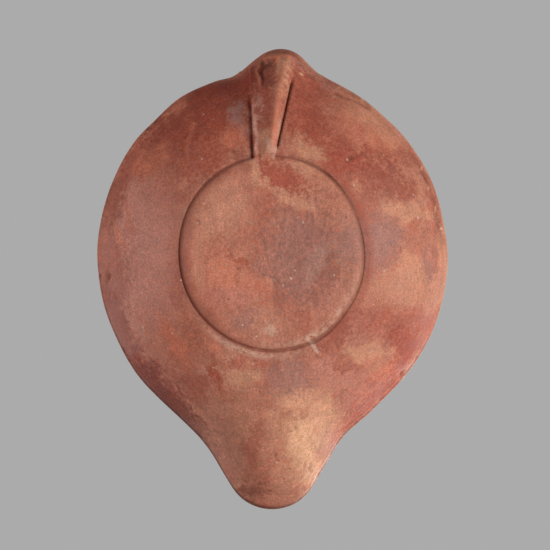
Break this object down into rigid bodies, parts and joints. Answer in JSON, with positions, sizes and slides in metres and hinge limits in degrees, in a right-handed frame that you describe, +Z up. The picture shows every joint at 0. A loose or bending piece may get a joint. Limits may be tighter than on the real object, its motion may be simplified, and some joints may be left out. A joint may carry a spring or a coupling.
{
  "type": "roman oil lamp",
  "caption": "Closed terracotta oil lamp with a round body, short nozzle with a wick hole, filling hole in a sunk discus, and a solid upright lug handle.",
  "frame": {"origin": "on the ground under the middle of the lamp's overall length and width", "axes": "+Z up, +Y from the nozzle towards the lug, +X across the body"},
  "size_m": [0.085, 0.1122, 0.0391],
  "materials": {
    "terracotta": "fired red-brown clay with a thin worn slip, matt"
  },
  "bodies": {
    "root": {"lamp_body": "terracotta"}
  },
  "joints": []
}
